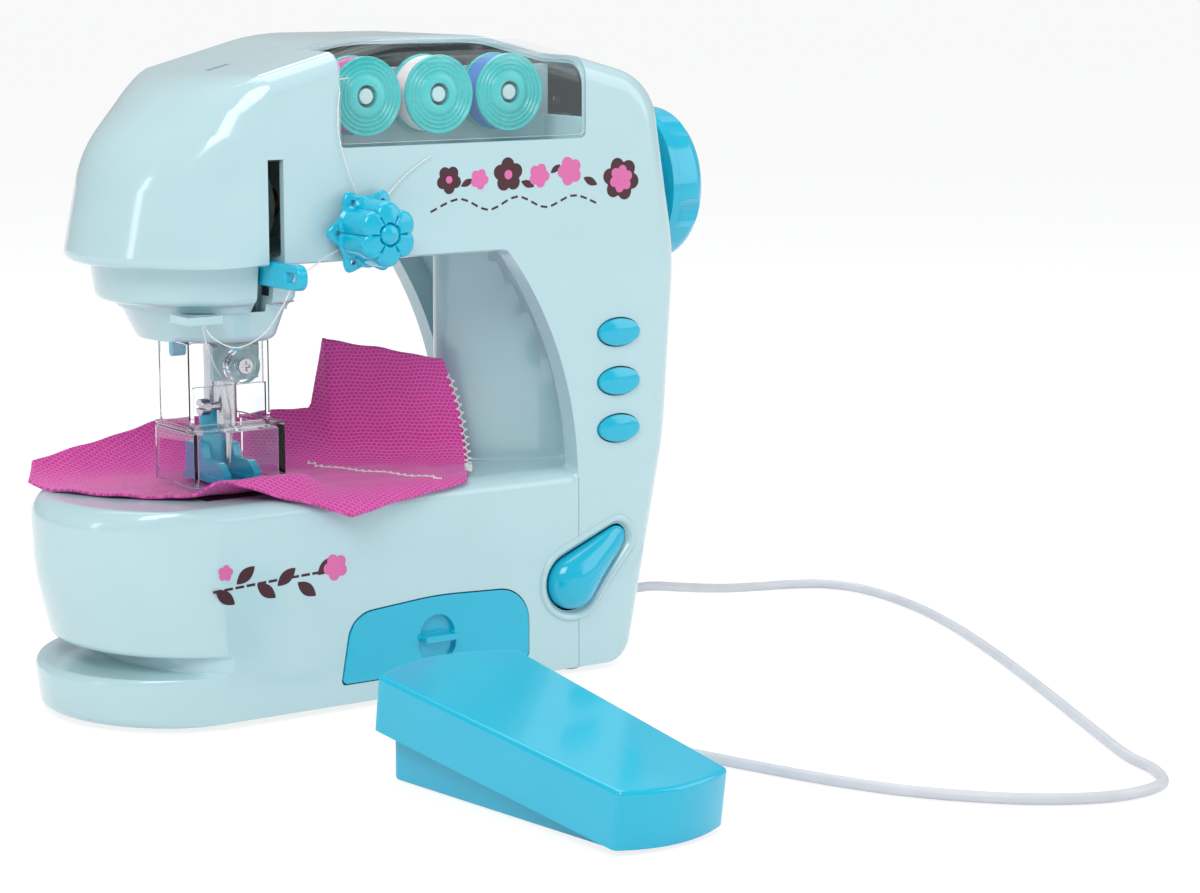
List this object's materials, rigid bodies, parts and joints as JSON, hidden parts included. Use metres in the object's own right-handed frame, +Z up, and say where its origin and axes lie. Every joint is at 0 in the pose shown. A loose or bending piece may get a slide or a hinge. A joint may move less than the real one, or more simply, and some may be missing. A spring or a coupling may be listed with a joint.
{
  "type": "toy sewing machine",
  "caption": "Child's electric toy sewing machine with an open throat, covered thread spools, a small drawer, a handwheel and a foot pedal on a lead.",
  "frame": {"origin": "on the table, midway under the feet of the machine", "axes": "+X to the handwheel, +Y to the back, +Z up"},
  "size_m": [0.3349, 0.3072, 0.2135],
  "materials": {
    "casing": "gloss",
    "blue": "gloss",
    "turquoise": "gloss",
    "tray": "satin",
    "white": "satin",
    "cord": "satin",
    "dark": "satin",
    "board": "satin",
    "belt": "matte",
    "feet": "matte",
    "clear": "clear",
    "steel": "satin",
    "bronze": "satin",
    "thread_pink": "matte",
    "thread_white": "matte",
    "thread_blue": "matte",
    "cloth": "matte"
  },
  "bodies": {
    "machine": {"front_casing": "casing", "rear_casing": "casing", "fixing_screws": "steel", "rubber_feet": "feet", "head_cup": "casing", "head_frame": "white", "drive_frame": "white", "base_frame": "white", "shaft_bushes": "bronze", "needle_guard": "clear", "needle_plate": "steel", "spool_tray": "tray", "tension_stud": "steel", "hinge_pins": "steel", "presser_spring": "steel", "pedal_spring": "steel", "timing_belt": "belt", "motor": "steel", "control_board": "board", "switch_block": "dark", "battery_box": "white", "battery_cells": "steel", "battery_door": "casing", "power_jack": "dark", "cord_plug": "white", "cord": "cord", "pedal_base": "blue", "pedal_gland": "white", "sample_cloth": "cloth"},
    "handwheel_set": {"handwheel": "blue", "main_shaft": "steel", "drive_gear": "white", "crank_disc": "white"},
    "rotor": {"motor_pinion": "bronze"},
    "looper_set": {"lower_shaft": "steel", "lower_pulley": "white", "looper": "steel"},
    "needle_set": {"needle_bar": "steel", "needle_yoke": "white", "needle": "steel", "needle_clamp_screw": "steel"},
    "lever": {"take_up_lever": "blue"},
    "feed": {"feed_dog": "steel"},
    "presser": {"presser_bar": "steel", "presser_foot": "blue"},
    "lifter": {"presser_lifter": "blue"},
    "left_spool": {"spool_left": "turquoise", "thread_left": "thread_pink"},
    "middle_spool": {"spool_middle": "turquoise", "thread_middle": "thread_white"},
    "right_spool": {"spool_right": "turquoise", "thread_right": "thread_blue"},
    "lid": {"spool_lid": "clear"},
    "knob": {"tension_knob": "blue"},
    "drawer_box": {"drawer": "blue"},
    "top_button": {"button_top": "blue"},
    "middle_button": {"button_middle": "blue"},
    "bottom_button": {"button_bottom": "blue"},
    "switch": {"power_switch": "blue"},
    "treadle": {"pedal_top": "blue"}
  },
  "joints": [
    {"name": "handwheel_spin", "type": "hinge", "parent": "machine", "child": "handwheel_set", "pos_m": [0.1, 0, 0.16], "axis": [1, 0, 0], "continuous": true},
    {"name": "motor_spin", "type": "hinge", "parent": "machine", "child": "rotor", "pos_m": [0.08, 0, 0.12975], "axis": [1, 0, 0], "continuous": true},
    {"name": "lower_shaft_spin", "type": "hinge", "parent": "machine", "child": "looper_set", "pos_m": [0.05, 0, 0.05], "axis": [1, 0, 0], "continuous": true},
    {"name": "needle_stroke", "type": "slide", "parent": "machine", "child": "needle_set", "axis": [0, 0, 1], "range_m": [-0.0135, 0.004]},
    {"name": "take_up_swing", "type": "hinge", "parent": "machine", "child": "lever", "pos_m": [-0.0465, -0.022, 0.142], "axis": [-1, 0, 0], "range_deg": [-14, 47]},
    {"name": "feed_stroke", "type": "slide", "parent": "machine", "child": "feed", "axis": [0, 1, 0], "range_m": [-0.0015, 0.0015]},
    {"name": "presser_lift", "type": "slide", "parent": "machine", "child": "presser", "axis": [0, 0, 1], "range_m": [0, 0.006], "stiffness_N_per_m": 150, "deforming": ["presser_spring"]},
    {"name": "lifter_swing", "type": "hinge", "parent": "machine", "child": "lifter", "pos_m": [-0.047, 0.022, 0.128], "axis": [1, 0, 0], "range_deg": [0, 60]},
    {"name": "spool_left_spin", "type": "hinge", "parent": "machine", "child": "left_spool", "pos_m": [-0.0058, -0.026, 0.195], "axis": [0, 1, 0], "continuous": true},
    {"name": "spool_middle_spin", "type": "hinge", "parent": "machine", "child": "middle_spool", "pos_m": [0.0212, -0.026, 0.195], "axis": [0, 1, 0], "continuous": true},
    {"name": "spool_right_spin", "type": "hinge", "parent": "machine", "child": "right_spool", "pos_m": [0.0482, -0.026, 0.195], "axis": [0, 1, 0], "continuous": true},
    {"name": "lid_open", "type": "hinge", "parent": "machine", "child": "lid", "pos_m": [0.02, -0.0432, 0.1827], "axis": [1, 0, 0], "range_deg": [0, 95]},
    {"name": "tension_turn", "type": "hinge", "parent": "machine", "child": "knob", "pos_m": [-0.0165, -0.055, 0.154], "axis": [0, 1, 0], "range_deg": [-150, 150]},
    {"name": "drawer_slide", "type": "slide", "parent": "machine", "child": "drawer_box", "axis": [0, -1, 0], "range_m": [0, 0.034]},
    {"name": "button_top_press", "type": "slide", "parent": "machine", "child": "top_button", "axis": [0, 1, 0], "range_m": [0, 0.0012], "stiffness_N_per_m": 300},
    {"name": "button_middle_press", "type": "slide", "parent": "machine", "child": "middle_button", "axis": [0, 1, 0], "range_m": [0, 0.0012], "stiffness_N_per_m": 300},
    {"name": "button_bottom_press", "type": "slide", "parent": "machine", "child": "bottom_button", "axis": [0, 1, 0], "range_m": [0, 0.0012], "stiffness_N_per_m": 300},
    {"name": "switch_rock", "type": "hinge", "parent": "machine", "child": "switch", "pos_m": [0.07093, -0.0405, 0.0373], "axis": [-0.6018, 0, 0.7986], "range_deg": [-5, 5]},
    {"name": "pedal_press", "type": "hinge", "parent": "machine", "child": "treadle", "pos_m": [-0.02464, -0.21203, 0.0076], "axis": [-0.9957, -0.0924, 0], "range_deg": [0, 6], "stiffness_Nm_per_rad": 1.2, "deforming": ["pedal_spring"]}
  ],
  "couplings": [
    {"joint": "motor_spin", "follows": "handwheel_spin", "ratio": -5},
    {"joint": "lower_shaft_spin", "follows": "handwheel_spin", "ratio": 1},
    {"joint": "take_up_swing", "follows": "needle_stroke", "rad_per_m": -59.471},
    {"joint": "feed_stroke", "follows": "needle_stroke", "ratio": 0.1037},
    {"joint": "lifter_swing", "follows": "presser_lift", "rad_per_m": 174.53}
  ]
}
